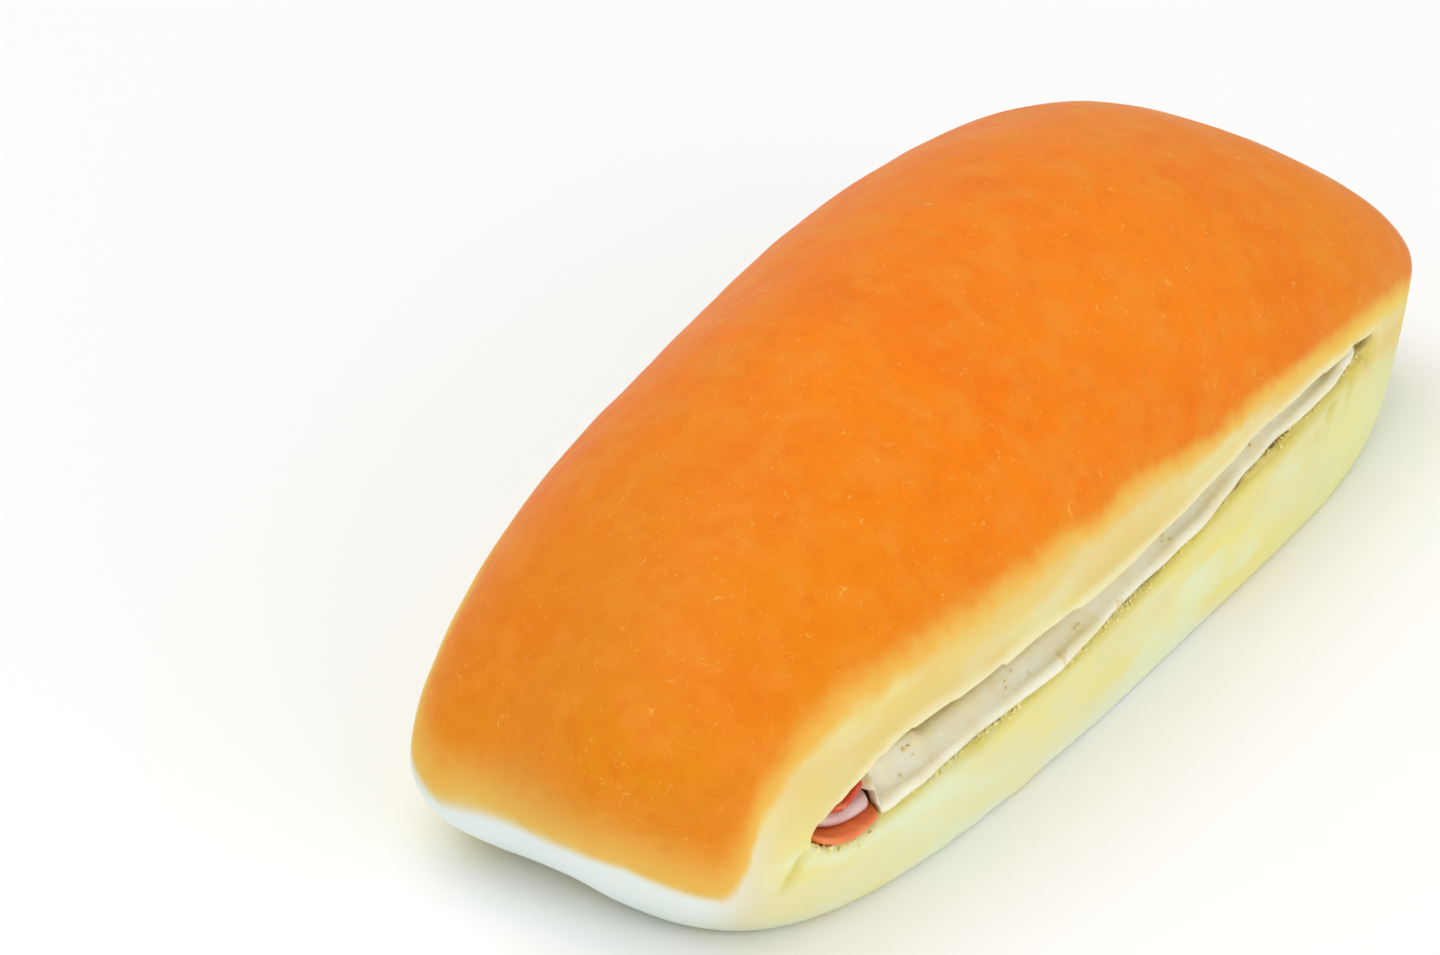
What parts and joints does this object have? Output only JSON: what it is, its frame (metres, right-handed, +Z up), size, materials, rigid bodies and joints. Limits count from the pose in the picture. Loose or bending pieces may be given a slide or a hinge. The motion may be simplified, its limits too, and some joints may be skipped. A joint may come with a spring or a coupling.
{
  "type": "filled soft bread roll",
  "caption": "Long soft bread roll, slit along one side and filled with sliced ham, cheese and cured sausage.",
  "frame": {"origin": "middle of the roll's box, on the surface it lies on", "axes": "+X along the roll towards its wider end, -Y out of the slit, +Z up"},
  "size_m": [0.1732, 0.0666, 0.0498],
  "materials": {
    "bread": "soft baked crust, golden orange on top and cream on the sides, with a satin sheen",
    "ham": "moist cooked ham, pale pink",
    "cheese": "soft white cheese, slightly translucent",
    "sausage": "moist cured sausage, red to orange"
  },
  "bodies": {
    "root": {"bread_roll": "bread", "lower_sausage_slice": "sausage", "ham_slice": "ham", "cheese_slice": "cheese", "upper_sausage_slice": "sausage"}
  },
  "joints": []
}
